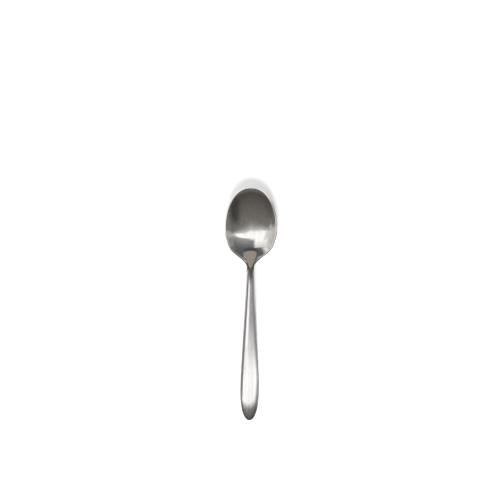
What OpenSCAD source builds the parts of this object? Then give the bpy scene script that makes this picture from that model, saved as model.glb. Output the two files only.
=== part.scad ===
// Soup spoon with a hollow handle.
// A forged bowl carries the shoulder facet, the neck and a tang. Two pressed half shells
// close round the tang, and cement inside them grips it.
// The spoon lies along Y with the bowl's tip at +Y. It rests on z = 0 with the belly of
// the bowl and with the level end of the handle.

/* [Bowl] */
// Width across the bowl at its widest place
bowl_w = 43.8; // [40:0.2:48]
// Length from the tip to the neck
bowl_l = 66.2; // [64:0.2:70]
// Length from the tip to the widest place
bowl_front_l = 35; // [30:0.5:37]
// Length from the tip to the deepest place
bowl_deep_l = 39; // [37:0.5:42]
// Thickness of the bowl at its deepest place
bowl_wall = 1.6; // [1.2:0.1:2]
// Height of the rim above the table at the tip
rim_tip_z = 9.5; // [8:0.1:11]
// Height of the rim above the table at the widest place
rim_side_z = 10.5; // [9:0.1:12]
// Width of the flat rim
rim_w = 1.4; // [1:0.1:1.8]
// Thickness of the rim
rim_t = 1.1; // [0.8:0.1:1.4]
// Size of the break on the rim's edges
rim_edge = 0.3; // [0.2:0.05:0.4]

/* [Shoulders] */
// Length from the neck to where the sides begin to turn in
flank_l = 17.2; // [16:0.2:19]
// How far each side has come in there from the widest place
flank_in = 3.3; // [2.5:0.1:4]
// Length from the neck to the steepest place of the shoulders
shoulder_l = 8.7; // [7.5:0.1:10]
// Width across the shoulders at that place
shoulder_w = 21.2; // [18:0.2:24]

/* [Facet] */
// Length of the facet from its front edge to the handle's mouth
facet_l = 15.6; // [14:0.2:17]
// Width of the facet across its front corners
facet_w = 10.8; // [9:0.2:12]
// Length over which the front corners are rounded
facet_corner_l = 2; // [1.5:0.1:3]
// Height of the facet's front edge above the table
facet_front_z = 12.4; // [11.4:0.1:13.4]
// Run of the wall that falls from the front edge into the bowl
facet_fall = 3; // [2:0.1:4]
// Run of the fall along each side of the facet
facet_side_fall = 1; // [0.6:0.1:1.4]
// Height of the hollow below the front edge
heel_z = 7.4; // [6.8:0.1:8.2]
// Upright thickness of the bowl's heel below that hollow
heel_wall = 2.4; // [1.8:0.1:3]

/* [Neck] */
// Width across the neck
neck_w = 5.9; // [5.2:0.1:7]
// Thickness of the neck at the handle's mouth
neck_t = 5.2; // [4.6:0.1:6]
// Length from the narrowest place of the neck back to the handle's mouth
mouth_back = 2.4; // [1:0.1:4]
// Break on the two edges that meet at the handle's mouth
mouth_break = 0.4; // [0.2:0.05:0.6]
// Height of the neck's crest above the table
crest_z = 17; // [15.6:0.2:19]

/* [Handle] */
// Length of the handle from its mouth to its end
handle_l = 126.4; // [110:0.5:140]
// Width across the handle at its widest place
handle_w = 15.4; // [13:0.2:18]
// Thickness of the handle over its level stretch
handle_t = 4.8; // [4.2:0.1:6]
// Thickness of the handle at its waist, behind the mouth
waist_t = 4.5; // [4.2:0.1:5]
// Width across the handle at its waist
waist_w = 6.84; // [6.2:0.02:7.6]
// Length from the mouth to the waist
waist_l = 14.4; // [10:0.2:20]
// Length of the rounded end, from the widest place to the end
end_l = 24; // [20:0.5:30]
// Thickness of the lip at the very end
end_t = 1.6; // [1.3:0.1:2]
// Length over which the top slopes down to that lip
end_slope_l = 17; // [14:0.5:20]
// Length of the level stretch that lies on the table
level_l = 40; // [35:1:50]

/* [Inside the handle] */
// Wall of the pressed half shells
shell_wall = 0.8; // [0.6:0.05:1]
// Gap of the soldered seam between the two half shells
seam_gap = 0.05; // [0.02:0.01:0.1]
// Gap between the neck's shoulder and the handle's mouth
joint_gap = 0.05; // [0.02:0.01:0.1]
// Width of the tang
tang_w = 2.8; // [2.2:0.1:3.2]
// Thickness of the tang
tang_t = 1.5; // [1.2:0.1:1.8]
// Length of the tang behind the neck's shoulder
tang_l = 28; // [20:1:40]
// Gap all round the cement, to the shells and to the tang
bond_gap = 0.04; // [0.02:0.01:0.08]
// Length of the handle's end that the cement doesn't reach
filler_short = 15; // [13:0.5:20]

/* [Hidden] */

// Roundness of the curves: 2 is an ellipse, and more is fuller
tip_round = 2.15;
end_round = 2.15;
lip_round = 6;
keel_round = 2.1;
side_round = 2.2;
neck_round = 2.2;
handle_round = 2.6;
tang_round = 4;
corner_round = 2.4;
fall_round = 1.6;
facet_taper = 1.4;

// Slopes of the outline and of the profile where two curves meet
flank_slope = -0.4;
shoulder_slope = -1.35;
waist_slope = 0.054;
swell_slope = 0.045;
rim_side_slope = 0.05;
rim_neck_slope = 0.3;
heel_slope = 0.75;
heel_end_slope = 0.4;
neck_under_slope = 0.1;
crest_slope = -0.25;
end_slope = -0.32;

// The last stretch of the handle before its widest place, where its swelling slows down
swell_l = 11;
swell_in = 0.17;

// Share of the thickness that lies under the seam, and of the neck's width outside the hollow
seam_share = 0.46;
neck_share = 0.3;
// Share of the room beside the facet that the fall along its sides may take
side_fall_share = 0.7;

// Places along the spoon, measured from the bowl's tip
mouth_at = bowl_l + mouth_back;
spoon_l = mouth_at + handle_l;
flank_at = bowl_l - flank_l;
shoulder_at = bowl_l - shoulder_l;
facet_at = mouth_at - facet_l;
foot_at = facet_at - facet_fall;
corner_at = facet_at + facet_corner_l;
waist_at = mouth_at + waist_l;
widest_at = spoon_l - end_l;
swell_at = widest_at - swell_l;
level_at = spoon_l - level_l;
bend_at = spoon_l - end_slope_l;
shell_at = mouth_at + joint_gap;
tang_end = mouth_at + tang_l;
filler_end = spoon_l - filler_short;

// Numbers of points across and along each piece
under_n = 16;
hollow_n = 9;
fall_n = 3;
shell_n = 14;
filler_n = 12;
// Points lie on this grid, so that those which meet are equal
grid = 0.0001;

// Plain curves

function mix(a, b, share) = a + (b - a) * share;
function limit(share) = max(0, min(1, share));
function ease(share) = let (c = limit(share)) c * c * (3 - 2 * c);
function arch(u, n) = pow(max(0, 1 - pow(abs(u), n)), 1 / n);

// Cubic between two knots, each a place, a value and a slope
function cubic(a, b, s) =
    let (
        run = b[0] - a[0],
        t = (s - a[0]) / run
    )
    a[1] * (1 + 2 * t) * pow(1 - t, 2)
    + a[2] * run * t * pow(1 - t, 2)
    + b[1] * t * t * (3 - 2 * t)
    + b[2] * run * t * t * (t - 1);

function curve(knots, s, i = 0) =
    i + 2 >= len(knots) || s <= knots[i + 1][0]
        ? cubic(knots[i], knots[i + 1], s)
        : curve(knots, s, i + 1);

// Steps after a, up to b: even, closer together near a, and closer together near b
function steps(a, b, n) = [for (i = [1:n]) mix(a, b, i / n)];
function steps_near_start(a, b, n) = [for (i = [1:n]) mix(a, b, 1 - cos(90 * i / n))];
function steps_near_end(a, b, n) = [for (i = [1:n]) mix(a, b, sin(90 * i / n))];

// Shares of the width from -1 to 1, closer together near the edges
function spread(n) = [for (i = [0:n]) -cos(180 * i / n)];

// Outline seen from above: half of the width at a place

outline_knots = [
    [bowl_front_l, bowl_w / 2, 0],
    [flank_at, bowl_w / 2 - flank_in, flank_slope],
    [shoulder_at, shoulder_w / 2, shoulder_slope],
    [bowl_l, neck_w / 2, 0],
    [waist_at, waist_w / 2, waist_slope],
    [swell_at, handle_w / 2 - swell_in, swell_slope],
    [widest_at, handle_w / 2, 0],
];

function outline(s) =
    s < bowl_front_l
        ? bowl_w / 2 * arch(1 - s / bowl_front_l, tip_round)
        : s > widest_at
            ? handle_w / 2 * arch((s - widest_at) / end_l, end_round)
            : curve(outline_knots, s);

function outline_slope(s) = (outline(s + rim_edge) - outline(s - rim_edge)) / (2 * rim_edge);

// Share of the neck's own section in the shape at a place, from 0 in the bowl to 1 at the neck
function neckness(s) = ease((s - facet_at) / (bowl_l - facet_at));

// Half of the width inside a line that runs at a distance within the outline
function inset(s, d) =
    s < bowl_front_l
        ? (bowl_w / 2 - d) * arch((bowl_front_l - s) / (bowl_front_l - d), tip_round)
        : outline(s) - mix(
            d * sqrt(1 + pow(outline_slope(s), 2)),
            d / rim_w * outline(s) * neck_share,
            neckness(s)
        );
function inner(s) = inset(s, rim_w);

// Profile seen from the side: heights along the middle

handle_top_knots = [
    [mouth_at, crest_z, crest_slope],
    [level_at, handle_t, 0],
    [bend_at, handle_t, 0],
    [spoon_l, end_t, end_slope],
];
handle_depth_knots = [
    [mouth_at, neck_t, crest_slope - neck_under_slope],
    [waist_at, waist_t, 0],
    [level_at, handle_t, 0],
    [bend_at, handle_t, 0],
    [spoon_l, end_t, end_slope],
];
under_knots = [
    [bowl_deep_l, 0, 0],
    [facet_at, heel_z - heel_wall, heel_slope],
    [mouth_at, crest_z - neck_t, neck_under_slope],
];

function facet_z(s) = mix(facet_front_z, crest_z, (s - facet_at) / facet_l);
function top_z(s) = s < mouth_at ? facet_z(s) : curve(handle_top_knots, s);
function under_z(s) =
    s < bowl_deep_l
        ? (rim_tip_z - rim_t) * pow((bowl_deep_l - s) / bowl_deep_l, keel_round)
        : s < mouth_at ? curve(under_knots, s) : top_z(s) - curve(handle_depth_knots, s);
function seam_z(s) = mix(under_z(s), top_z(s), seam_share);

rim_knots = [
    [0, rim_tip_z, 0],
    [bowl_front_l, rim_side_z, rim_side_slope],
    [bowl_l, seam_z(bowl_l), rim_neck_slope],
];
function rim_z(s) = curve(rim_knots, min(s, bowl_l));

// The rim's flat top is broken at both edges, and a line further in than the tip starts at the middle
function rim_top_z(s, d) =
    let (at = min(s, d))
    rim_z(s) - max(0, rim_edge - at, at - rim_w + rim_edge);
function hollow_edge_z(s) = rim_top_z(s, rim_w);

hollow_knots = [
    [bowl_deep_l, bowl_wall, 0],
    [facet_at, heel_z, heel_slope],
    [bowl_l, rim_z(bowl_l), heel_end_slope],
];
function hollow_floor_z(s) =
    s < rim_w
        ? hollow_edge_z(s)
        : s < bowl_deep_l
            ? mix(
                bowl_wall,
                hollow_edge_z(rim_w),
                pow((bowl_deep_l - s) / (bowl_deep_l - rim_w), keel_round)
            )
            : curve(hollow_knots, min(s, bowl_l));

// Sections across the neck and the handle

function section_round(s) = mix(neck_round, handle_round, ease((s - mouth_at) / (widest_at - mouth_at)));
function lip(s) = arch(max(0, s - widest_at) / end_l, lip_round);
function rise(s) = (top_z(s) - seam_z(s)) * lip(s);
function drop(s) = (seam_z(s) - under_z(s)) * lip(s);

function place(s, x, z) = [for (c = [x, spoon_l / 2 - s, z]) round(c / grid) * grid];

// Near the handle's mouth the outside is drawn in towards the middle, which breaks the two edges there
function drawn_in(s) = max(0, mouth_break - abs(s - mouth_at)) / (neck_w / 2);
function outside(s, x, z) = place(s, x * (1 - drawn_in(s)), mix(z, seam_z(s), drawn_in(s)));

// Facet and the fall round it: level 0 is the facet's edge and level 1 the foot of the fall

function facet_half(s) = facet_w / 2 * (1 - pow(limit((s - facet_at) / facet_l), facet_taper));
function side_fall(s) = min(facet_side_fall, side_fall_share * (inner(s) - facet_half(s)));
function facet_edge(s, level) =
    let (
        start = facet_at - level * facet_fall,
        rounding = facet_corner_l + level * facet_fall
    )
    (facet_half(s) + level * side_fall(s)) * arch(1 - limit((s - start) / rounding), corner_round);
function fallen(s, level) =
    1 - pow(1 - limit(max(level, (facet_at - s) / facet_fall)), fall_round);

// Bowl

function neck_upper_z(s, x) = seam_z(s) + rise(s) * arch(x / outline(s), section_round(s));
function to_neck(s, x, z) = neckness(s) > 0 ? mix(z, neck_upper_z(s, x), neckness(s)) : z;

function hollow_z(s, x) =
    let (u = inner(s) > 0 ? x / inner(s) : 0)
    to_neck(s, x, mix(hollow_floor_z(s), hollow_edge_z(s), pow(abs(u), side_round)));

function fall_z(s, x, level) = mix(facet_z(s), hollow_z(s, x), fallen(s, level));

function bowl_under_z(s, u) =
    let (
        bowl = mix(under_z(s), rim_z(s) - rim_t, pow(abs(u), side_round)),
        neck = seam_z(s) - drop(s) * arch(u, section_round(s))
    )
    mix(bowl, neck, neckness(s));

// Points of the upper side from the rim to the middle, each an x and a z
function upper_half(s) =
    concat(
        [
            for (d = [0, rim_edge, rim_w - rim_edge])
                let (x = inset(s, d))
                [x, to_neck(s, x, rim_top_z(s, d))]
        ],
        [
            for (i = [0:hollow_n - 1])
                let (x = mix(inner(s), facet_edge(s, 1), i / hollow_n))
                [x, hollow_z(s, x)]
        ],
        [
            for (i = [0:fall_n])
                let (level = 1 - i / fall_n, x = facet_edge(s, level))
                [x, fall_z(s, x, level)]
        ]
    );

function mirrored(half) = [for (i = [len(half) - 1:-1:0]) [-half[i][0], half[i][1]]];

function upper_row(s) =
    let (half = upper_half(s))
    concat(half, [[0, fall_z(s, 0, 0)]], mirrored(half));

function bowl_ring(s) =
    concat(
        [for (u = spread(under_n)) outside(s, outline(s) * u, bowl_under_z(s, u))],
        [for (p = upper_row(s)) outside(s, p[0], p[1])]
    );

// The tang's ring has the same number of points as the bowl's, in the same order
function tang_ring(s) =
    concat(
        [for (u = spread(under_n)) place(s, tang_w / 2 * u, seam_z(s) - tang_t / 2 * arch(u, tang_round))],
        [
            for (p = upper_row(mouth_at))
                let (u = p[0] / outline(mouth_at))
                place(s, tang_w / 2 * u, seam_z(s) + tang_t / 2 * arch(u, tang_round))
        ]
    );

function point_ring(s, n) = [for (i = [1:n]) place(s, 0, seam_z(s))];

bowl_places = concat(
    [0],
    steps_near_start(0, rim_edge, 2),
    steps(rim_edge, rim_w - rim_edge, 2),
    steps(rim_w - rim_edge, rim_w, 1),
    steps_near_start(rim_w, bowl_front_l, 13),
    steps(bowl_front_l, bowl_deep_l, 3),
    steps(bowl_deep_l, foot_at, 4),
    steps(foot_at, facet_at, 4),
    steps_near_start(facet_at, corner_at, 4),
    steps(corner_at, bowl_l, 8),
    steps(bowl_l, mouth_at - mouth_break, 2),
    steps(mouth_at - mouth_break, mouth_at, 1)
);
tang_places = concat([mouth_at], steps(mouth_at, tang_end, 4));

// Handle shells

// Height on a shell's curve: side is 1 for the upper shell and -1 for the lower one
function shell_z(s, side, height, u) =
    seam_z(s) + side * (seam_gap / 2 + height * arch(u, section_round(s)));

function shell_ring(s, side) =
    let (
        outer_h = max(0, (side > 0 ? rise(s) : drop(s)) - seam_gap / 2),
        inner_h = max(0, outer_h - shell_wall),
        inner_half = max(0, outline(s) - shell_wall)
    )
    concat(
        [for (u = spread(shell_n)) outside(s, outline(s) * u, shell_z(s, side, outer_h, u))],
        [for (u = -spread(shell_n)) place(s, inner_half * u, shell_z(s, side, inner_h, u))]
    );

shell_places = concat(
    [shell_at],
    steps(shell_at, mouth_at + mouth_break, 1),
    steps(mouth_at + mouth_break, waist_at, 4),
    steps(waist_at, widest_at, 14),
    steps_near_end(widest_at, spoon_l, 10)
);

// Filler

function oval_ring(s, half_w, up, down, n) =
    concat(
        [
            for (u = spread(filler_n))
                place(s, half_w * u, seam_z(s) - down * arch(u, n))
        ],
        [
            for (i = [1:filler_n - 1])
                let (u = cos(180 * i / filler_n))
                place(s, half_w * u, seam_z(s) + up * arch(u, n))
        ]
    );

function filler_ring(s) =
    oval_ring(
        s,
        outline(s) - shell_wall - bond_gap,
        rise(s) - shell_wall - bond_gap,
        drop(s) - shell_wall - bond_gap,
        section_round(s)
    );

function bore_ring(s) =
    let (half_t = tang_t / 2 + bond_gap)
    oval_ring(s, tang_w / 2 + bond_gap, half_t, half_t, tang_round);

bore_end = tang_end + bond_gap;
bore_places = concat([bore_end], steps(bore_end, shell_at, 4));
filler_places = concat([shell_at], steps(shell_at, waist_at, 3), steps(waist_at, filler_end, 12));

// Closed surfaces

// Flat face over the first ring, between its outer and its inner half
function flat_start(n) =
    [
        for (j = [0:n / 2 - 2])
            each [[j, j + 1, n - 1 - j], [j + 1, n - 2 - j, n - 1 - j]]
    ];

// Two triangles between neighbouring points of two rings, split alike on the left and the right
function patch(points, a, b, c, d) =
    points[a][0] + points[b][0] + points[c][0] + points[d][0] < 0
        ? [[a, c, b], [a, d, c]]
        : [[a, d, b], [b, d, c]];

function has_area(points, face) =
    points[face[0]] != points[face[1]]
    && points[face[1]] != points[face[2]]
    && points[face[2]] != points[face[0]];

// Skin over rings of equally many points: each face is taken in reverse order where flipped is true
module skin(rings, flipped = false, start = []) {
    n = len(rings[0]);
    points = [for (ring = rings) each ring];
    sides = [
        for (i = [0:len(rings) - 2], j = [0:n - 1])
            each patch(points, i * n + j, i * n + (j + 1) % n, (i + 1) * n + (j + 1) % n, (i + 1) * n + j)
    ];
    faces = [
        for (face = concat(sides, start))
            if (has_area(points, face)) flipped ? [face[2], face[1], face[0]] : face
    ];
    polyhedron(points, faces);
}

// Sub-parts

module bowl() {
    rings = concat(
        [for (s = bowl_places) bowl_ring(s)],
        [for (s = tang_places) tang_ring(s)]
    );
    color([0.74, 0.73, 0.71])
        skin(concat(rings, [point_ring(tang_end, len(rings[0]))]));
}

module handle_shell(side) {
    skin(
        [for (s = shell_places) shell_ring(s, side)],
        flipped = side > 0,
        start = flat_start(2 * (shell_n + 1))
    );
}

module handle_upper_shell() {
    color([0.77, 0.76, 0.75])
        handle_shell(1);
}

module handle_lower_shell() {
    color([0.7, 0.69, 0.68])
        handle_shell(-1);
}

module handle_filler() {
    rings = concat(
        [for (s = bore_places) bore_ring(s)],
        [for (s = filler_places) filler_ring(s)]
    );
    n = len(rings[0]);
    color([0.55, 0.5, 0.44])
        skin(concat([point_ring(bore_end, n)], rings, [point_ring(filler_end, n)]));
}

bowl();
handle_upper_shell();
handle_lower_shell();
handle_filler();
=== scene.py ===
"""Looks of a steel soup spoon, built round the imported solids.

The bowl and the two handle shells are rebuilt as dense smooth skins from the spoon's own curves. The cement
inside the handle keeps its solid. Each piece gets a finish made of shader nodes, and a small studio with a
white table, soft lamps and reflection cards shows it from straight above.
"""

import logging
import math
from dataclasses import dataclass
from enum import Enum
from functools import cached_property
from typing import Any, Sequence

import bpy
import numpy as np
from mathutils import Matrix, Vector


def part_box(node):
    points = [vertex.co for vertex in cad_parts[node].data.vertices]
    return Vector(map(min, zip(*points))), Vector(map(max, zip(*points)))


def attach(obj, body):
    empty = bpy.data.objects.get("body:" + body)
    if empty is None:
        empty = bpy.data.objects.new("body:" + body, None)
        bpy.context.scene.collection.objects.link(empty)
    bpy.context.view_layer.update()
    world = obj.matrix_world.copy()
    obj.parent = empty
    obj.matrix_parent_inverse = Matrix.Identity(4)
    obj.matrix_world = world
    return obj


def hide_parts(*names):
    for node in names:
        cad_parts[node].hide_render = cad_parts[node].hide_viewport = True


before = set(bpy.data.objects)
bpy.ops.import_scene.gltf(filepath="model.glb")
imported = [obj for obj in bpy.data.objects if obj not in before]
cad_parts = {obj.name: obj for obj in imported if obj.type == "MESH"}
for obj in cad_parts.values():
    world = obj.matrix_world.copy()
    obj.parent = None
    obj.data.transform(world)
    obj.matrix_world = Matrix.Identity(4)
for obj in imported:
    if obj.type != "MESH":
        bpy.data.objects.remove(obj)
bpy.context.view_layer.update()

LOG = logging.getLogger("soup_spoon")
BODY = "root"
# Metres in a millimetre
MM = 0.001
# Points of a skin that are nearer than this, in metres, become one
WELD = 1e-8
# A fold between two faces that is steeper than this shows as an edge
SHARP_ANGLE = math.radians(38)

Colour = tuple[float, float, float]
WHITE = (1.0, 1.0, 1.0, 1.0)


# Plain curves


def mix(a: Any, b: Any, share: Any) -> Any:
    """Value that lies a share of the way from a to b."""
    return a + (b - a) * share


def limit(share: Any) -> Any:
    """Share kept between 0 and 1."""
    return np.clip(share, 0.0, 1.0)


def ease(share: Any) -> Any:
    """Share that starts and stops gently."""
    c = limit(share)
    return c * c * (3 - 2 * c)


def arch(u: Any, roundness: float) -> Any:
    """Height of a rounded arch over the span from -1 to 1.

    Args:
        u: Places on the span.
        roundness: 2 is an ellipse, and more is fuller.

    Returns:
        Heights from 0 at the feet to 1 in the middle.
    """
    return np.maximum(0.0, 1.0 - np.abs(u) ** roundness) ** (1.0 / roundness)


def quarter_drop(at: Any, radius: float) -> Any:
    """How far a rounded edge has dropped at a distance from the outline.

    Args:
        at: Distances inwards from the outline.
        radius: Radius of the rounding.

    Returns:
        The radius at the outline, and 0 from the radius inwards.
    """
    rest = radius - np.minimum(at, radius)
    return radius - np.sqrt(np.maximum(0.0, radius**2 - rest**2))


def even(a: float, b: float, count: int) -> np.ndarray:
    """Steps after a, up to b, all alike."""
    return mix(a, b, np.arange(1, count + 1) / count)


def near_start(a: float, b: float, count: int) -> np.ndarray:
    """Steps after a, up to b, closer together near a."""
    return mix(a, b, 1 - np.cos(np.pi / 2 * np.arange(1, count + 1) / count))


def near_end(a: float, b: float, count: int) -> np.ndarray:
    """Steps after a, up to b, closer together near b."""
    return mix(a, b, np.sin(np.pi / 2 * np.arange(1, count + 1) / count))


def near_both(a: float, b: float, count: int) -> np.ndarray:
    """Steps after a, up to b, closer together near both."""
    return mix(a, b, 0.5 - 0.5 * np.cos(np.pi * np.arange(1, count + 1) / count))


def spread(count: int) -> np.ndarray:
    """Shares of the width from -1 to 1, closer together near the edges."""
    return -np.cos(np.pi * np.arange(count + 1) / count)


@dataclass(frozen=True)
class Knot:
    """A point that a course passes: its place along the spoon, its value and its slope there."""

    place: float
    value: float
    slope: float


@dataclass(frozen=True)
class Course:
    """Smooth course of cubics through knots."""

    knots: tuple[Knot, ...]

    def at(self, place: float) -> float:
        """Value of the course.

        Args:
            place: Distance along the spoon from the tip.

        Returns:
            The value of the cubic between the two knots beside the place.
        """
        i = 0
        while i + 2 < len(self.knots) and place > self.knots[i + 1].place:
            i += 1
        a, b = self.knots[i], self.knots[i + 1]
        run = b.place - a.place
        t = (place - a.place) / run
        values = a.value * (1 + 2 * t) * (1 - t) ** 2 + b.value * t * t * (3 - 2 * t)
        slopes = a.slope * t * (1 - t) ** 2 + b.slope * t * t * (t - 1)
        return values + slopes * run


@dataclass(frozen=True, eq=False)
class SpoonLines:
    """Outline, profile and sections that all the pieces share, in millimetres.

    A place is a distance along the spoon from the bowl's tip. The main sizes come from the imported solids, and
    the others are those of the spoon's own curves.
    """

    length: float
    bowl_w: float
    handle_w: float
    mouth_at: float
    tip_y: float
    bowl_l: float = 66.2
    bowl_front_l: float = 35.0
    bowl_deep_l: float = 39.0
    tip_under_z: float = 8.4
    flank_l: float = 17.2
    flank_in: float = 3.3
    flank_slope: float = -0.4
    shoulder_l: float = 8.7
    shoulder_w: float = 21.2
    shoulder_slope: float = -1.35
    facet_l: float = 15.6
    facet_front_z: float = 12.4
    heel_under_z: float = 5.0
    heel_slope: float = 0.75
    neck_w: float = 5.9
    neck_t: float = 5.2
    neck_under_slope: float = 0.1
    mouth_break: float = 0.47
    crest_z: float = 17.0
    crest_slope: float = -0.25
    handle_t: float = 4.8
    waist_t: float = 4.5
    waist_w: float = 6.84
    waist_l: float = 14.4
    waist_slope: float = 0.054
    swell_l: float = 11.0
    swell_in: float = 0.17
    swell_slope: float = 0.045
    end_l: float = 24.0
    end_t: float = 1.6
    end_slope: float = -0.32
    end_slope_l: float = 17.0
    level_l: float = 40.0
    tip_round: float = 2.15
    end_round: float = 2.15
    lip_round: float = 6.0
    keel_round: float = 2.1
    neck_round: float = 2.2
    handle_round: float = 2.6
    seam_share: float = 0.46

    @classmethod
    def from_frame(cls, joint_gap: float) -> "SpoonLines":
        """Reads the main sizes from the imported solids.

        Args:
            joint_gap: Gap between the neck's shoulder and the handle's mouth.

        Returns:
            The lines of a spoon of those sizes.
        """
        bowl_low, bowl_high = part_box("bowl")
        shell_low, shell_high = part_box("handle_upper_shell")
        return cls(
            length=(bowl_high.y - shell_low.y) / MM,
            bowl_w=(bowl_high.x - bowl_low.x) / MM,
            handle_w=(shell_high.x - shell_low.x) / MM,
            mouth_at=(bowl_high.y - shell_high.y) / MM - joint_gap,
            tip_y=bowl_high.y / MM,
        )

    @property
    def facet_at(self) -> float:
        """Place of the facet's front edge."""
        return self.mouth_at - self.facet_l

    @property
    def waist_at(self) -> float:
        """Place of the handle's waist, behind its mouth."""
        return self.mouth_at + self.waist_l

    @property
    def widest_at(self) -> float:
        """Place where the handle is widest."""
        return self.length - self.end_l

    @cached_property
    def outline_course(self) -> Course:
        """Half of the width from the bowl's widest place to the handle's."""
        flank_at = self.bowl_l - self.flank_l
        swell_at = self.widest_at - self.swell_l
        return Course((
            Knot(self.bowl_front_l, self.bowl_w / 2, 0),
            Knot(flank_at, self.bowl_w / 2 - self.flank_in, self.flank_slope),
            Knot(self.bowl_l - self.shoulder_l, self.shoulder_w / 2, self.shoulder_slope),
            Knot(self.bowl_l, self.neck_w / 2, 0),
            Knot(self.waist_at, self.waist_w / 2, self.waist_slope),
            Knot(swell_at, self.handle_w / 2 - self.swell_in, self.swell_slope),
            Knot(self.widest_at, self.handle_w / 2, 0),
        ))

    @cached_property
    def top_course(self) -> Course:
        """Heights along the handle's back, from its mouth to its end."""
        return Course((
            Knot(self.mouth_at, self.crest_z, self.crest_slope),
            Knot(self.length - self.level_l, self.handle_t, 0),
            Knot(self.length - self.end_slope_l, self.handle_t, 0),
            Knot(self.length, self.end_t, self.end_slope),
        ))

    @cached_property
    def depth_course(self) -> Course:
        """Thickness along the handle."""
        return Course((
            Knot(self.mouth_at, self.neck_t, self.crest_slope - self.neck_under_slope),
            Knot(self.waist_at, self.waist_t, 0),
            Knot(self.length - self.level_l, self.handle_t, 0),
            Knot(self.length - self.end_slope_l, self.handle_t, 0),
            Knot(self.length, self.end_t, self.end_slope),
        ))

    @cached_property
    def heel_course(self) -> Course:
        """Heights under the spoon from the belly to the handle's mouth."""
        return Course((
            Knot(self.bowl_deep_l, 0, 0),
            Knot(self.facet_at, self.heel_under_z, self.heel_slope),
            Knot(self.mouth_at, self.crest_z - self.neck_t, self.neck_under_slope),
        ))

    def outline(self, s: float) -> float:
        """Half of the width at a place."""
        if s < self.bowl_front_l:
            return self.bowl_w / 2 * arch(1 - s / self.bowl_front_l, self.tip_round)
        if s > self.widest_at:
            return self.handle_w / 2 * arch((s - self.widest_at) / self.end_l, self.end_round)
        return self.outline_course.at(s)

    def neckness(self, s: float) -> float:
        """Share of the neck's own section, from 0 in the bowl to 1 at the neck."""
        return ease((s - self.facet_at) / (self.bowl_l - self.facet_at))

    def facet_z(self, s: float) -> float:
        """Height of the facet at a place."""
        return mix(self.facet_front_z, self.crest_z, (s - self.facet_at) / self.facet_l)

    def top_z(self, s: float) -> float:
        """Height of the neck's and the handle's back at a place."""
        return self.facet_z(s) if s < self.mouth_at else self.top_course.at(s)

    def under_z(self, s: float) -> float:
        """Height of the underside along the middle at a place."""
        if s < self.bowl_deep_l:
            return self.tip_under_z * ((self.bowl_deep_l - s) / self.bowl_deep_l) ** self.keel_round
        if s < self.mouth_at:
            return self.heel_course.at(s)
        return self.top_z(s) - self.depth_course.at(s)

    def seam_z(self, s: float) -> float:
        """Height of the seam between the upper and the lower half of a section."""
        return mix(self.under_z(s), self.top_z(s), self.seam_share)

    def section_round(self, s: float) -> float:
        """Roundness of the section, which grows fuller along the handle."""
        share = ease((s - self.mouth_at) / (self.widest_at - self.mouth_at))
        return mix(self.neck_round, self.handle_round, share)

    def lip(self, s: float) -> float:
        """Share of the thickness that is left, which closes at the handle's end."""
        return arch(max(0.0, s - self.widest_at) / self.end_l, self.lip_round)

    def rise(self, s: float) -> float:
        """Height of a section above its seam."""
        return (self.top_z(s) - self.seam_z(s)) * self.lip(s)

    def drop(self, s: float) -> float:
        """Depth of a section below its seam."""
        return (self.seam_z(s) - self.under_z(s)) * self.lip(s)

    def place(self, s: float, x: np.ndarray, z: np.ndarray) -> np.ndarray:
        """Points across the spoon at a place.

        Args:
            s: Place along the spoon.
            x: Distances from the middle.
            z: Heights above the table.

        Returns:
            Points in the frame, in metres, one to a row.
        """
        y = np.full(len(x), self.tip_y - s)
        return np.column_stack([x, y, z]) * MM

    def outside(self, s: float, x: np.ndarray, z: np.ndarray) -> np.ndarray:
        """Points on the outside, where the edges that meet at the handle's mouth are rounded off.

        Args:
            s: Place along the spoon.
            x: Distances from the middle.
            z: Heights above the table.

        Returns:
            Points in the frame, in metres, one to a row.
        """
        share = quarter_drop(abs(s - self.mouth_at), self.mouth_break) / (self.neck_w / 2)
        return self.place(s, x * (1 - share), mix(z, self.seam_z(s), share))


# Skins


def strip_faces(columns: int) -> list[tuple[int, int, int, int]]:
    """Faces of a strip whose points come in pairs, a low one and a high one to a column.

    Args:
        columns: Number of faces in the strip.

    Returns:
        The corners of each face.
    """
    return [(low, low + 2, low + 3, low + 1) for low in range(0, 2 * columns, 2)]


def skin_faces(grid: np.ndarray, flipped: bool) -> list[list[int]]:
    """Faces between neighbouring rings, without those that have shrunk to a line.

    Args:
        grid: Number of each point, a row to a ring.
        flipped: Whether the faces turn the other way.

    Returns:
        The corners of each face.
    """
    following = np.roll(grid, -1, axis=1)
    quads = np.stack([grid[:-1], following[:-1], following[1:], grid[1:]], axis=-1)
    faces = []
    for quad in quads.reshape(-1, 4).tolist():
        corners = list(dict.fromkeys(quad))
        if len(corners) > 2:
            faces.append(corners[::-1] if flipped else corners)
    return faces


def mouth_faces(ring: np.ndarray, flipped: bool) -> list[list[int]]:
    """Flat faces over a first ring, between its outer half and its inner half.

    Args:
        ring: Number of each point of the ring.
        flipped: Whether the faces turn the other way.

    Returns:
        The corners of each face.
    """
    last = len(ring) - 1
    faces = []
    for j in range(len(ring) // 2 - 1):
        corners = [int(ring[k]) for k in (last - j, last - j - 1, j + 1, j)]
        faces.append(corners[::-1] if flipped else corners)
    return faces


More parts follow.
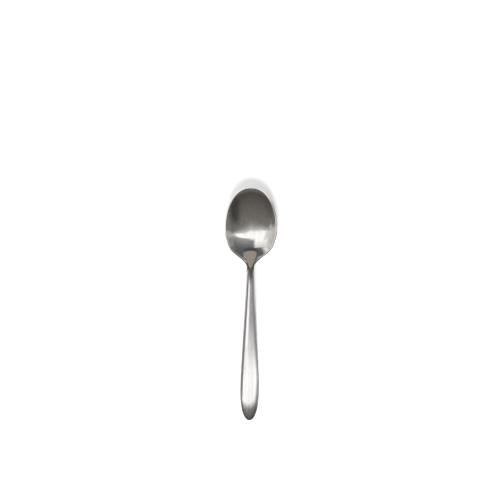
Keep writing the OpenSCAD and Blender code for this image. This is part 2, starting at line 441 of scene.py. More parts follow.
def skin_object(
    name: str,
    rings: Sequence[np.ndarray],
    flipped: bool = False,
    open_mouth: bool = False,
) -> Any:
    """Closed smooth mesh over rings of equally many points.

    Args:
        name: Name of the piece.
        rings: Points of each ring, in metres.
        flipped: Whether the rings turn the other way round.
        open_mouth: Whether the first ring is the edge of a wall and gets a flat face.

    Returns:
        The new object, which is in the scene.
    """
    points = np.vstack(rings)
    keys = np.round(points / WELD).astype(np.int64)
    _, first, numbers = np.unique(keys, axis=0, return_index=True, return_inverse=True)
    grid = numbers.reshape(len(rings), -1)
    faces = skin_faces(grid, flipped)
    if open_mouth:
        faces += mouth_faces(grid[0], flipped)
    mesh = bpy.data.meshes.new(name)
    mesh.from_pydata(points[first].tolist(), [], faces)
    mesh.validate()
    mesh.shade_smooth()
    mesh.set_sharp_from_angle(angle=SHARP_ANGLE)
    piece = bpy.data.objects.new(name, mesh)
    bpy.context.scene.collection.objects.link(piece)
    return piece


# Pieces


class Side(Enum):
    """Half of the handle."""

    UPPER = 1
    LOWER = -1


@dataclass(frozen=True, eq=False)
class Bowl:
    """The forging: the bowl with its rim, the shoulder facet, the neck and the tang, in millimetres."""

    lines: SpoonLines
    finish: "SteelFinish"
    wall: float = 1.6
    rim_tip_z: float = 9.5
    rim_side_z: float = 10.5
    rim_side_slope: float = 0.05
    rim_neck_slope: float = 0.3
    rim_w: float = 1.4
    rim_t: float = 1.1
    rim_edge: float = 0.3
    rim_lean: float = 0.12
    rim_roll: float = 0.76
    rim_drop: float = 0.8
    roll_start: float = 3.0
    roll_grow: float = 14.0
    heel_z: float = 7.4
    heel_end_slope: float = 0.4
    side_round: float = 2.2
    neck_share: float = 0.3
    facet_w: float = 10.8
    facet_taper: float = 1.4
    facet_fall: float = 3.0
    facet_side_fall: float = 1.0
    side_fall_share: float = 0.7
    fall_round: float = 1.6
    corner_l: float = 2.0
    corner_round: float = 2.4
    edge_softness: float = 0.06
    tang_w: float = 2.8
    tang_t: float = 1.5
    tang_l: float = 28.0
    tang_round: float = 4.0
    edge_columns: int = 7
    flat_columns: int = 4
    hollow_columns: int = 48
    fall_columns: int = 16
    facet_columns: int = 8
    under_columns: int = 64
    edge_rings: int = 6
    flat_rings: int = 3
    front_rings: int = 64
    belly_rings: int = 10
    heel_rings: int = 20
    fall_rings: int = 32
    corner_rings: int = 20
    facet_rings: int = 36
    neck_rings: int = 6
    break_rings: int = 5
    tang_rings: int = 8

    @cached_property
    def rim_course(self) -> Course:
        """Heights of the rim from the tip to the neck."""
        lines = self.lines
        return Course((
            Knot(0, self.rim_tip_z, 0),
            Knot(lines.bowl_front_l, self.rim_side_z, self.rim_side_slope),
            Knot(lines.bowl_l, lines.seam_z(lines.bowl_l), self.rim_neck_slope),
        ))

    @cached_property
    def floor_course(self) -> Course:
        """Heights along the middle of the hollow, from its deepest place to the neck."""
        lines = self.lines
        return Course((
            Knot(lines.bowl_deep_l, self.wall, 0),
            Knot(lines.facet_at, self.heel_z, lines.heel_slope),
            Knot(lines.bowl_l, self.rim_z(lines.bowl_l), self.heel_end_slope),
        ))

    @cached_property
    def edge_depths(self) -> np.ndarray:
        """Distances within the outline at which the rounded outer edge has points."""
        return np.append(0.0, near_start(0.0, self.rim_edge, self.edge_columns - 1))

    def roll(self, s: float) -> tuple[float, float]:
        """Rounding on the rim's outer edge, which grows from the tip to the sides.

        Args:
            s: Place along the spoon.

        Returns:
            Its width and its height.
        """
        grown = float(ease((s - self.roll_start) / self.roll_grow))
        return mix(self.rim_edge, self.rim_roll, grown), mix(self.rim_edge, self.rim_drop, grown)

    def rim_depths(self, s: float) -> np.ndarray:
        """Distances within the outline at which the rim has points at a place, up to the hollow."""
        roll, _ = self.roll(s)
        inner_edge = self.rim_w - 2 * self.rim_edge
        rolled = self.edge_depths * roll / self.rim_edge
        flat = even(roll, inner_edge, self.flat_columns)
        return np.concatenate([rolled, flat, even(inner_edge, self.rim_w, self.edge_columns)[:-1]])

    def rim_z(self, s: float) -> float:
        """Height of the rim at a place."""
        return self.rim_course.at(min(s, self.lines.bowl_l))

    def rim_top_z(self, s: float, depth: Any) -> Any:
        """Height of the rim's top, which leans in a little and is rounded at both edges.

        Args:
            s: Place along the spoon.
            depth: Distances within the outline. Near the tip the tip itself is nearer.

        Returns:
            Heights above the table.
        """
        at = np.minimum(s, depth)
        hinge = limit((at - self.rim_w) / (2 * self.rim_edge) + 1)
        roll, drop = self.roll(s)
        lean = self.rim_lean * np.maximum(0.0, at - roll)
        edge = quarter_drop(at * drop / roll, drop)
        return self.rim_z(s) - edge - lean - self.rim_edge * hinge**2

    def inset(self, s: float, depth: Any) -> Any:
        """Half of the width inside a line that runs at a distance within the outline.

        Args:
            s: Place along the spoon.
            depth: Distances within the outline.

        Returns:
            Distances from the middle.
        """
        lines = self.lines
        if s < lines.bowl_front_l:
            share = (lines.bowl_front_l - s) / (lines.bowl_front_l - depth)
            return (lines.bowl_w / 2 - depth) * arch(share, lines.tip_round)
        half = lines.outline(s)
        slope = (lines.outline(s + self.rim_edge) - lines.outline(s - self.rim_edge)) / (2 * self.rim_edge)
        bowl_step = depth * math.hypot(1, slope)
        neck_step = depth / self.rim_w * half * self.neck_share
        return half - mix(bowl_step, neck_step, lines.neckness(s))

    def to_neck(self, s: float, x: np.ndarray, z: np.ndarray) -> np.ndarray:
        """Heights that turn from the bowl's own into those of the neck's section.

        Args:
            s: Place along the spoon.
            x: Distances from the middle.
            z: Heights in the bowl.

        Returns:
            Heights above the table.
        """
        lines = self.lines
        share = lines.neckness(s)
        if share == 0:
            return z
        neck = lines.seam_z(s) + lines.rise(s) * arch(x / lines.outline(s), lines.section_round(s))
        return mix(z, neck, share)

    def floor_z(self, s: float) -> float:
        """Height of the hollow along the middle at a place."""
        deep = self.lines.bowl_deep_l
        if s < self.rim_w:
            return self.rim_top_z(s, self.rim_w)
        if s < deep:
            share = (deep - s) / (deep - self.rim_w)
            return mix(self.wall, self.rim_top_z(self.rim_w, self.rim_w), share**self.lines.keel_round)
        return self.floor_course.at(min(s, self.lines.bowl_l))

    def hollow_z(self, s: float, x: np.ndarray) -> np.ndarray:
        """Heights across the hollow.

        Args:
            s: Place along the spoon.
            x: Distances from the middle.

        Returns:
            Heights above the table.
        """
        half = self.inset(s, self.rim_w)
        u = x / half if half > 0 else np.zeros_like(x)
        across = mix(self.floor_z(s), self.rim_top_z(s, self.rim_w), np.abs(u) ** self.side_round)
        return self.to_neck(s, x, across)

    def facet_edge(self, s: float, level: Any) -> Any:
        """Half of the width inside a line round the facet.

        Args:
            s: Place along the spoon.
            level: 0 is the facet's own edge, and 1 is the foot of the fall round it.

        Returns:
            Distances from the middle.
        """
        lines = self.lines
        share = limit((s - lines.facet_at) / lines.facet_l)
        half = self.facet_w / 2 * (1 - share**self.facet_taper)
        room = self.side_fall_share * (self.inset(s, self.rim_w) - half)
        fall = min(self.facet_side_fall, room)
        start = lines.facet_at - level * self.facet_fall
        rounding = self.corner_l + level * self.facet_fall
        return (half + level * fall) * arch(1 - limit((s - start) / rounding), self.corner_round)

    def fallen(self, s: float, level: Any) -> Any:
        """Share of the fall from the facet to the hollow, with a softened upper edge.

        Args:
            s: Place along the spoon.
            level: Lines round the facet, as for its edge.

        Returns:
            0 on the facet and 1 in the hollow.
        """
        ahead = (self.lines.facet_at - s) / self.facet_fall
        share = limit(np.maximum(level, ahead))
        soft = np.hypot(share, self.edge_softness) - self.edge_softness
        full = math.hypot(1, self.edge_softness) - self.edge_softness
        return 1 - (1 - soft / full) ** self.fall_round

    def fall_z(self, s: float, x: np.ndarray, level: Any) -> np.ndarray:
        """Heights on the facet and on the fall round it.

        Args:
            s: Place along the spoon.
            x: Distances from the middle.
            level: Lines round the facet, as for its edge.

        Returns:
            Heights above the table.
        """
        return mix(self.lines.facet_z(s), self.hollow_z(s, x), self.fallen(s, level))

    def upper_side(self, s: float) -> tuple[np.ndarray, np.ndarray]:
        """The upper side at a place, from the right edge to the left one.

        Args:
            s: Place along the spoon.

        Returns:
            Distances from the middle, and heights.
        """
        depths = self.rim_depths(s)
        rim_x = self.inset(s, depths)
        rim_z = self.to_neck(s, rim_x, self.rim_top_z(s, depths))
        steps = np.arange(self.hollow_columns) / self.hollow_columns
        hollow_x = mix(self.inset(s, self.rim_w), self.facet_edge(s, 1.0), steps)
        levels = 1 - np.arange(self.fall_columns + 1) / self.fall_columns
        fall_x = self.facet_edge(s, levels)
        facet_x = fall_x[-1] * (1 - near_start(0, 1, self.facet_columns))
        x = np.concatenate([rim_x, hollow_x, fall_x, facet_x])
        z = np.concatenate([
            rim_z,
            self.hollow_z(s, hollow_x),
            self.fall_z(s, fall_x, levels),
            self.fall_z(s, facet_x, 0.0),
        ])
        return np.concatenate([x, -x[-2::-1]]), np.concatenate([z, z[-2::-1]])

    def under_side(self, s: float) -> tuple[np.ndarray, np.ndarray]:
        """The underside at a place, from the left edge to the right one.

        Args:
            s: Place along the spoon.

        Returns:
            Distances from the middle, and heights.
        """
        lines = self.lines
        half = lines.outline(s)
        edge_x = self.inset(s, self.edge_depths)
        middle_x = edge_x[-1] * spread(self.under_columns)[1:-1]
        x = np.concatenate([-edge_x, middle_x, edge_x[::-1]])
        middle_depth = np.full(len(middle_x), self.rim_edge)
        depth = np.concatenate([self.edge_depths, middle_depth, self.edge_depths[::-1]])
        u = x / half if half > 0 else np.zeros_like(x)
        bowl = mix(lines.under_z(s), self.rim_z(s) - self.rim_t, np.abs(u) ** self.side_round)
        bowl = bowl + quarter_drop(np.minimum(s, depth), self.rim_edge)
        neck = lines.seam_z(s) - lines.drop(s) * arch(u, lines.section_round(s))
        return x, mix(bowl, neck, lines.neckness(s))

    def ring(self, s: float) -> np.ndarray:
        """Points round the bowl at a place, in metres."""
        under_x, under_z = self.under_side(s)
        upper_x, upper_z = self.upper_side(s)
        return self.lines.outside(s, np.concatenate([under_x, upper_x]), np.concatenate([under_z, upper_z]))

    def tang_ring(self, s: float) -> np.ndarray:
        """Points round the tang at a place, as many as round the bowl and in the same order."""
        lines = self.lines
        under_x, _ = self.under_side(lines.mouth_at)
        upper_x, _ = self.upper_side(lines.mouth_at)
        u = np.concatenate([under_x, upper_x]) / lines.outline(lines.mouth_at)
        way = np.concatenate([-np.ones(len(under_x)), np.ones(len(upper_x))])
        z = lines.seam_z(s) + way * self.tang_t / 2 * arch(u, self.tang_round)
        return lines.place(s, self.tang_w / 2 * u, z)

    def places(self) -> np.ndarray:
        """Places of the bowl's rings, closer together where the form turns quickly."""
        lines = self.lines
        inner_edge = self.rim_w - 2 * self.rim_edge
        foot_at = lines.facet_at - self.facet_fall
        corner_at = lines.facet_at + self.corner_l
        break_at = lines.mouth_at - lines.mouth_break
        return np.concatenate([
            [0.0],
            near_start(0, self.rim_edge, self.edge_rings),
            even(self.rim_edge, inner_edge, self.flat_rings),
            even(inner_edge, self.rim_w, self.edge_rings),
            near_start(self.rim_w, lines.bowl_front_l, self.front_rings),
            even(lines.bowl_front_l, lines.bowl_deep_l, self.belly_rings),
            even(lines.bowl_deep_l, foot_at, self.heel_rings),
            near_both(foot_at, lines.facet_at, self.fall_rings),
            near_start(lines.facet_at, corner_at, self.corner_rings),
            even(corner_at, lines.bowl_l, self.facet_rings),
            even(lines.bowl_l, break_at, self.neck_rings),
            near_end(break_at, lines.mouth_at, self.break_rings),
        ])

    def build(self) -> Any:
        """Makes the forging, which stands for its solid.

        Returns:
            The new piece.
        """
        lines = self.lines
        rings = [self.ring(s) for s in self.places()]
        tang_end = lines.mouth_at + self.tang_l
        tang_places = np.append(lines.mouth_at, even(lines.mouth_at, tang_end, self.tang_rings))
        rings += [self.tang_ring(s) for s in tang_places]
        count = len(rings[0])
        rings.append(lines.place(tang_end, np.zeros(count), np.full(count, lines.seam_z(tang_end))))
        piece = skin_object("forged_bowl", rings)
        piece.data.materials.append(self.finish.material())
        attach(piece, BODY)
        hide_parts("bowl")
        return piece


@dataclass(frozen=True, eq=False)
class HandleShell:
    """One pressed half of the hollow handle, in millimetres."""

    lines: SpoonLines
    finish: "SteelFinish"
    side: Side
    joint_gap: float
    wall: float = 0.8
    seam_gap: float = 0.05
    columns: int = 56
    break_rings: int = 5
    waist_rings: int = 24
    run_rings: int = 90
    end_rings: int = 64

    @property
    def node(self) -> str:
        """Name of the solid that this shell stands for."""
        return f"handle_{self.side.name.lower()}_shell"

    def curve_z(self, s: float, height: float, u: np.ndarray) -> np.ndarray:
        """Heights on a curve of the shell.

        Args:
            s: Place along the spoon.
            height: Height of the curve beyond the seam.
            u: Shares of the curve's half width.

        Returns:
            Heights above the table.
        """
        beyond = self.seam_gap / 2 + height * arch(u, self.lines.section_round(s))
        return self.lines.seam_z(s) + self.side.value * beyond

    def ring(self, s: float) -> np.ndarray:
        """Points round the shell's wall at a place: its outside, and then its inside."""
        lines = self.lines
        half = lines.outline(s)
        reach = lines.rise(s) if self.side is Side.UPPER else lines.drop(s)
        outer_h = max(0.0, reach - self.seam_gap / 2)
        inner_h = max(0.0, outer_h - self.wall)
        u = spread(self.columns)
        outer = lines.outside(s, half * u, self.curve_z(s, outer_h, u))
        inner = lines.place(s, -max(0.0, half - self.wall) * u, self.curve_z(s, inner_h, u))
        return np.vstack([outer, inner])

    def places(self) -> np.ndarray:
        """Places of the shell's rings, closer together at the mouth and at the end."""
        lines = self.lines
        start = lines.mouth_at + self.joint_gap
        break_at = lines.mouth_at + lines.mouth_break
        return np.concatenate([
            [start],
            near_start(start, break_at, self.break_rings),
            even(break_at, lines.waist_at, self.waist_rings),
            even(lines.waist_at, lines.widest_at, self.run_rings),
            near_end(lines.widest_at, lines.length, self.end_rings),
        ])

    def build(self) -> Any:
        """Makes the shell, which stands for its solid.

        Returns:
            The new piece.
        """
        rings = [self.ring(s) for s in self.places()]
        piece = skin_object(f"pressed_{self.node}", rings, flipped=self.side is Side.UPPER, open_mouth=True)
        piece.data.materials.append(self.finish.material())
        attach(piece, BODY)
        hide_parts(self.node)
        return piece


@dataclass(frozen=True)
class HandleFiller:
    """The cement inside the handle, whose solid is kept."""

    finish: "CementFinish"
    node: str = "handle_filler"

    def build(self) -> Any:
        """Dresses the solid in cement.

        Returns:
            The solid's own object.
        """
        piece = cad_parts[self.node]
        material = self.finish.material()
        for entry in piece.material_slots:
            entry.material = material
        return piece


# Finishes


class Wiring:
    """Places and joins the nodes of one tree."""

    # Numbers of a mix node's sockets for colours
    FIRST_COLOUR = 6
    SECOND_COLOUR = 7
    MIXED_COLOUR = 2

    def __init__(self, tree: Any) -> None:
        """Takes the tree to fill."""
        self.tree = tree

    def feed(self, socket: Any, value: Any) -> None:
        """Joins an output to an input, or sets the input's own value.

        Args:
            socket: The input.
            value: Another node's output, or a plain value.
        """
        if isinstance(value, bpy.types.NodeSocket):
            self.tree.links.new(value, socket)
        else:
            socket.default_value = value

    def add(self, kind: str, inputs: dict[Any, Any] | None = None, **settings: Any) -> Any:
        """Places a node.

        Args:
            kind: Type of the node.
            inputs: Values or outputs for its inputs, by name or number.
            **settings: Properties of the node.

        Returns:
            The new node.
        """
        node = self.tree.nodes.new(kind)
        for name, value in settings.items():
            setattr(node, name, value)
        for socket, value in (inputs or {}).items():
            self.feed(node.inputs[socket], value)
        return node

    def math(self, operation: str, a: Any, b: Any = 0.0) -> Any:
        """Output of an operation on two values."""
        return self.add("ShaderNodeMath", {0: a, 1: b}, operation=operation).outputs[0]

    def vector(self, operation: str, a: Any, b: Any) -> Any:
        """Output of an operation on two vectors."""
        return self.add("ShaderNodeVectorMath", {0: a, 1: b}, operation=operation).outputs[0]

    def ramp(self, value: Any, start: float, stop: float, low: float = 0.0, high: float = 1.0) -> Any:
        """Output that runs smoothly from low to high while a value runs from start to stop."""
        inputs = {"Value": value, "From Min": start, "From Max": stop, "To Min": low, "To Max": high}
        return self.add("ShaderNodeMapRange", inputs, interpolation_type="SMOOTHSTEP").outputs["Result"]

    def noise(self, vector: Any, scale: float, detail: float, roughness: float = 0.5) -> Any:
        """Output of a noise from 0 to 1."""
        inputs = {"Vector": vector, "Scale": scale, "Detail": detail, "Roughness": roughness}
        return self.add("ShaderNodeTexNoise", inputs).outputs["Fac"]

    def sized(self, vector: Any, size: Any) -> Any:
        """Output of a vector measured in units of a size."""
        node = self.add("ShaderNodeVectorMath", {0: vector}, operation="SCALE")
        self.feed(node.inputs["Scale"], self.math("DIVIDE", 1.0, size))
        return node.outputs[0]

    def chance(self, a: Any, b: Any) -> Any:
        """Output of a random value from 0 to 1 for each pair of numbers."""
        pair = self.add("ShaderNodeCombineXYZ", {"X": a, "Y": b}).outputs[0]
        return self.add("ShaderNodeTexWhiteNoise", {"Vector": pair}, noise_dimensions="2D").outputs["Value"]

    def blend(self, a: Any, b: Any, share: Any) -> Any:
        """Output of a mix of two colours."""
        node = self.add("ShaderNodeMix", {"Factor": share}, data_type="RGBA")
        self.feed(node.inputs[self.FIRST_COLOUR], a)
        self.feed(node.inputs[self.SECOND_COLOUR], b)
        return node.outputs[self.MIXED_COLOUR]

    def group(self, tree: Any, inputs: dict[str, Any]) -> Any:
        """Places an effect that several materials share.

        Args:
            tree: The effect's own tree.
            inputs: Values or outputs for its inputs, by name.

        Returns:
            The new node.
        """
        node = self.tree.nodes.new("ShaderNodeGroup")
        node.node_tree = tree
        for name, value in inputs.items():
            self.feed(node.inputs[name], value)
        return node


class Effect(Enum):
    """Surface effects that more than one finish uses, each a node group."""

    BRUSHING = "brushed_lines"
    SCRATCHES = "handling_scratches"
    SMUDGES = "smudges"
    WAVES = "forming_waves"
    EDGES = "polished_edges"


class EffectShelf:
    """Builds each shared effect once and hands it out."""

    VECTOR = "NodeSocketVector"
    VALUE = "NodeSocketFloat"
    # Scale of the bands of tone, where one fine line is 1
    BAND_SCALE = 0.13
    # Turn in radians and seed of each set of scratches
    SCRATCH_SETS = ((0.3, 3.0), (-0.7, 17.0))
    # Draws between which a scratch begins to show, so about one place in seven has one
    SCRATCH_DRAWS = (0.86, 0.88)
    # Noise between which a patch of smudge, or a band of tone, sets in
    SMUDGE_NOISE = (0.42, 0.68)
    BAND_NOISE = (0.3, 0.7)

    def __init__(self) -> None:
        """Starts with no effect built."""
        self.built: dict[Effect, Any] = {}

    def get(self, effect: Effect) -> Any:
        """The tree of an effect, built when it is first asked for."""
        if effect not in self.built:
            makers = {
                Effect.BRUSHING: self.brushing,
                Effect.SCRATCHES: self.scratches,
                Effect.SMUDGES: self.smudges,
                Effect.WAVES: self.waves,
                Effect.EDGES: self.edges,
            }
            self.built[effect] = makers[effect](effect.value)
        return self.built[effect]

    def sheet(
        self,
        name: str,
        inputs: dict[str, str],
        outputs: Sequence[str],
    ) -> tuple[Any, Wiring, Any, Any]:
        """Starts a node group.

        Args:
            name: Name of the group.
            inputs: Type of each input, by name.
            outputs: Names of the outputs, which are all values.

        Returns:
            The tree, its wiring, its input node and its output node.
        """
        tree = bpy.data.node_groups.new(name, "ShaderNodeTree")
        for label, kind in inputs.items():
            tree.interface.new_socket(name=label, in_out="INPUT", socket_type=kind)
        for label in outputs:
            tree.interface.new_socket(name=label, in_out="OUTPUT", socket_type=self.VALUE)
        wiring = Wiring(tree)
        return tree, wiring, wiring.add("NodeGroupInput"), wiring.add("NodeGroupOutput")

    def brushing(self, name: str) -> Any:
        """Fine lines along the spoon: their height, and a broader tone in bands.

        Args:
            name: Name of the group.

        Returns:
            The group's tree.
        """
        inputs = {"Vector": self.VECTOR, "Spacing": self.VALUE, "Run": self.VALUE}
        tree, wiring, given, result = self.sheet(name, inputs, ("Height", "Tone"))
        across = wiring.math("DIVIDE", 1.0, given.outputs["Spacing"])
        along = wiring.math("DIVIDE", 1.0, given.outputs["Run"])
        scale = wiring.add("ShaderNodeCombineXYZ", {"X": across, "Y": along, "Z": across}).outputs[0]
        drawn = wiring.vector("MULTIPLY", given.outputs["Vector"], scale)
        wiring.feed(result.inputs["Height"], wiring.noise(drawn, 1.0, 2.0))
        bands = wiring.noise(drawn, self.BAND_SCALE, 3.0, 0.6)
        wiring.feed(result.inputs["Tone"], wiring.ramp(bands, *self.BAND_NOISE))
        return tree

    def scratches(self, name: str) -> Any:
        """Sparse thin scratches at two slants, each straight and pointed at both ends.

        Args:
            name: Name of the group.

        Returns:
            The group's tree.
        """
        inputs = {"Vector": self.VECTOR, "Spacing": self.VALUE, "Length": self.VALUE, "Width": self.VALUE}
        tree, wiring, given, result = self.sheet(name, inputs, ("Mask",))
        masks = []
        for turn, seed in self.SCRATCH_SETS:
            turned = wiring.add("ShaderNodeMapping", {
                "Vector": given.outputs["Vector"],
                "Rotation": (0.0, 0.0, turn),
            })
            axes = wiring.add("ShaderNodeSeparateXYZ", {0: turned.outputs[0]})
            across = wiring.math("DIVIDE", axes.outputs["X"], given.outputs["Spacing"])
            row = wiring.math("FLOOR", across)
            start = wiring.chance(row, seed)
            lengths = wiring.math("DIVIDE", axes.outputs["Y"], given.outputs["Length"])
            along = wiring.math("ADD", lengths, start)
            draw = wiring.chance(row, wiring.math("FLOOR", along))
            drawn = wiring.ramp(draw, *self.SCRATCH_DRAWS)
            aside = wiring.math("ABSOLUTE", wiring.math("SUBTRACT", wiring.math("FRACT", across), 0.5))
            to_end = wiring.math("PINGPONG", along, 0.5)
            width = wiring.math("DIVIDE", given.outputs["Width"], given.outputs["Spacing"])
            near = wiring.math("LESS_THAN", aside, wiring.math("MULTIPLY", width, to_end))
            masks.append(wiring.math("MULTIPLY", near, drawn))
        wiring.feed(result.inputs["Mask"], wiring.math("MAXIMUM", masks[0], masks[1]))
        return tree

    def smudges(self, name: str) -> Any:
        """Soft patches with ragged borders.

        Args:
            name: Name of the group.

        Returns:
            The group's tree.
        """
        inputs = {"Vector": self.VECTOR, "Size": self.VALUE}
        tree, wiring, given, result = self.sheet(name, inputs, ("Mask",))
        sized = wiring.sized(given.outputs["Vector"], given.outputs["Size"])
        patches = wiring.noise(sized, 1.0, 5.0, 0.6)
        wiring.feed(result.inputs["Mask"], wiring.ramp(patches, *self.SMUDGE_NOISE))
        return tree

    def waves(self, name: str) -> Any:
        """Gentle unevenness that forging and polishing leave in a bright surface.

        Args:
            name: Name of the group.

        Returns:
            The group's tree.
        """
        inputs = {"Vector": self.VECTOR, "Size": self.VALUE}
        tree, wiring, given, result = self.sheet(name, inputs, ("Height",))
        sized = wiring.sized(given.outputs["Vector"], given.outputs["Size"])
        wiring.feed(result.inputs["Height"], wiring.noise(sized, 1.0, 0.0))
        return tree

    def edges(self, name: str) -> Any:
        """Edges that handling has polished bright.

        Args:
            name: Name of the group.

        Returns:
            The group's tree.
        """
        inputs = {"Start": self.VALUE, "Stop": self.VALUE}
        tree, wiring, given, result = self.sheet(name, inputs, ("Mask",))
        sharp = wiring.add("ShaderNodeNewGeometry").outputs["Pointiness"]
        ramp = wiring.add("ShaderNodeMapRange", {
            "Value": sharp,
            "From Min": given.outputs["Start"],
            "From Max": given.outputs["Stop"],
        })
        wiring.feed(result.inputs["Mask"], ramp.outputs["Result"])
        return tree


EFFECTS = EffectShelf()


def blank_material(name: str) -> tuple[Any, Wiring, Any]:
    """Starts a material.

    Args:
        name: Name of the material.

    Returns:
        The material, its wiring and its output node.
    """
    material = bpy.data.materials.new(name)
    material.use_nodes = True
    material.node_tree.nodes.clear()
    wiring = Wiring(material.node_tree)
    return material, wiring, wiring.add("ShaderNodeOutputMaterial")


@dataclass(frozen=True)
class Mark:
    """One long scratch, from a point to another on the table's plane, in millimetres."""

    start: tuple[float, float]
    stop: tuple[float, float]
    width: float

    def mask(self, wiring: Wiring, position: Any) -> Any:
        """Share of the scratch at each point.

        Args:
            wiring: Wiring of the material.
            position: Output with the point, in metres.

        Returns:
            An output, 1 on the scratch and 0 elsewhere.
        """
        run = Vector(self.stop) - Vector(self.start)
        along = Vector((*run.normalized(), 0.0))
        across = Vector((-along.y, along.x, 0.0))
        offset = wiring.vector("SUBTRACT", position, (self.start[0] * MM, self.start[1] * MM, 0.0))
        places = []
        for axis in (along, across):
            node = wiring.add("ShaderNodeVectorMath", {0: offset, 1: axis}, operation="DOT_PRODUCT")
            places.append(node.outputs["Value"])
        length = run.length * MM
        half = self.width * MM / 2
        aside = wiring.ramp(wiring.math("ABSOLUTE", places[1]), 0.0, half, 1.0, 0.0)
        begun = wiring.ramp(places[0], 0.0, length / 3)
        ended = wiring.ramp(places[0], length * 2 / 3, length, 1.0, 0.0)
        return wiring.math("MULTIPLY", aside, wiring.math("MULTIPLY", begun, ended))


@dataclass(frozen=True)
class SteelFinish:
    """Bright stainless steel, brushed along the spoon and worn by use. Lengths are in millimetres."""

    slot: str
    name: str
    colour: Colour
    roughness: float
    line_spacing: float = 0.16
    line_run: float = 9.0
    line_height: float = 0.0022
    wave_size: float = 16.0
    wave_height: float = 0.012
    scratch_spacing: float = 1.1
    scratch_length: float = 7.0
    scratch_width: float = 0.05
    scratch_depth: float = 0.002
    scratch_dulling: float = 0.2
    mark_dulling: float = 0.75
    smudge_size: float = 11.0
    smudge_dulling: float = 0.05
    tone_shade: float = 0.9
    tone_dulling: float = 0.05
    edge_colour: Colour = (0.9, 0.89, 0.88)
    edge_share: float = 0.5
    edge_start: float = 0.52
    edge_stop: float = 0.62
    mark: Mark | None = None

    def material(self) -> Any:
        """The finish as a material, made once and shared.

        Returns:
            The material.
        """
        known = bpy.data.materials.get(self.name)
        if known:
            return known
        material, wiring, output = blank_material(self.name)
        position = wiring.add("ShaderNodeTexCoord").outputs["Object"]
        brushing = wiring.group(EFFECTS.get(Effect.BRUSHING), {
            "Vector": position,
            "Spacing": self.line_spacing * MM,
            "Run": self.line_run * MM,
        })
        waves = wiring.group(EFFECTS.get(Effect.WAVES), {"Vector": position, "Size": self.wave_size * MM})
        smudges = wiring.group(EFFECTS.get(Effect.SMUDGES), {
            "Vector": position,
            "Size": self.smudge_size * MM,
        })
        scratches = wiring.group(EFFECTS.get(Effect.SCRATCHES), {
            "Vector": position,
            "Spacing": self.scratch_spacing * MM,
            "Length": self.scratch_length * MM,
            "Width": self.scratch_width * MM,
        })
        edges = wiring.group(EFFECTS.get(Effect.EDGES), {"Start": self.edge_start, "Stop": self.edge_stop})
        scratched = scratches.outputs["Mask"]
        dulled = wiring.math("MULTIPLY", scratched, self.scratch_dulling)
        if self.mark:
            marked = self.mark.mask(wiring, position)
            scratched = wiring.math("MAXIMUM", scratched, marked)
            dulled = wiring.math("MAXIMUM", dulled, wiring.math("MULTIPLY", marked, self.mark_dulling))
        tone = brushing.outputs["Tone"]
        shade = (*(self.tone_shade * c for c in self.colour), 1.0)
        worn = wiring.blend(shade, (*self.colour, 1.0), tone)
        polished = wiring.math("MULTIPLY", edges.outputs["Mask"], self.edge_share)
        roughness = wiring.math("MULTIPLY_ADD", tone, -self.tone_dulling)
        roughness.node.inputs[2].default_value = self.roughness + self.tone_dulling / 2
        smudged = wiring.math("MULTIPLY", smudges.outputs["Mask"], self.smudge_dulling)
        for more in (smudged, dulled):
            roughness = wiring.math("ADD", roughness, more)
        shader = wiring.add("ShaderNodeBsdfPrincipled", {
            "Metallic": 1.0,
            "Base Color": wiring.blend(worn, (*self.edge_colour, 1.0), polished),
            "Roughness": roughness,
        })
        normal = None
        heights = (
            (waves.outputs["Height"], self.wave_height),
            (brushing.outputs["Height"], self.line_height),
            (scratched, -self.scratch_depth),
        )
        for height, amount in heights:
            depth = abs(amount) * MM
            bump = wiring.add("ShaderNodeBump", {"Height": height, "Strength": 1.0, "Distance": depth})
            bump.invert = amount < 0
            if normal:
                wiring.feed(bump.inputs["Normal"], normal)
            normal = bump.outputs["Normal"]
        wiring.feed(shader.inputs["Normal"], normal)
        wiring.feed(output.inputs["Surface"], shader.outputs[0])
        return material


@dataclass(frozen=True)
class CementFinish:
    """Matte cement with grains and pores. Lengths are in millimetres."""

    name: str
    colour: Colour
    patch: float = 4.0
    grain: float = 0.5
    pore: float = 1.2
    pore_edge: tuple[float, float] = (0.12, 0.3)
    relief: float = 0.08
    dark_share: float = 0.72
    pale_share: float = 1.12
    roughness: tuple[float, float] = (0.8, 0.95)

    def material(self) -> Any:
        """The finish as a material.

        Returns:
            The material.
        """
        material, wiring, output = blank_material(self.name)
        position = wiring.add("ShaderNodeTexCoord").outputs["Object"]
        patches = wiring.group(EFFECTS.get(Effect.SMUDGES), {"Vector": position, "Size": self.patch * MM})
        grains = wiring.noise(position, 1 / (self.grain * MM), 4.0, 0.7)
        cells = wiring.add("ShaderNodeTexVoronoi", {"Vector": position, "Scale": 1 / (self.pore * MM)})
        pores = wiring.ramp(cells.outputs["Distance"], *self.pore_edge)
        dark = (*(self.dark_share * c for c in self.colour), 1.0)
        pale = (*(min(1.0, self.pale_share * c) for c in self.colour), 1.0)
        colour = wiring.blend(dark, pale, wiring.math("MULTIPLY", patches.outputs["Mask"], grains))
        height = wiring.math("ADD", grains, pores)
        bump = wiring.add("ShaderNodeBump", {"Height": height, "Strength": 1.0, "Distance": self.relief * MM})
        shader = wiring.add("ShaderNodeBsdfPrincipled", {
            "Base Color": colour,
            "Roughness": wiring.ramp(grains, 0.2, 0.8, *self.roughness),
            "Normal": bump.outputs["Normal"],
        })
        wiring.feed(output.inputs["Surface"], shader.outputs[0])
        return material


# Studio


class Run(Enum):
    """Way in which a card's colour changes."""

    ACROSS = "X"
    ALONG = "Y"


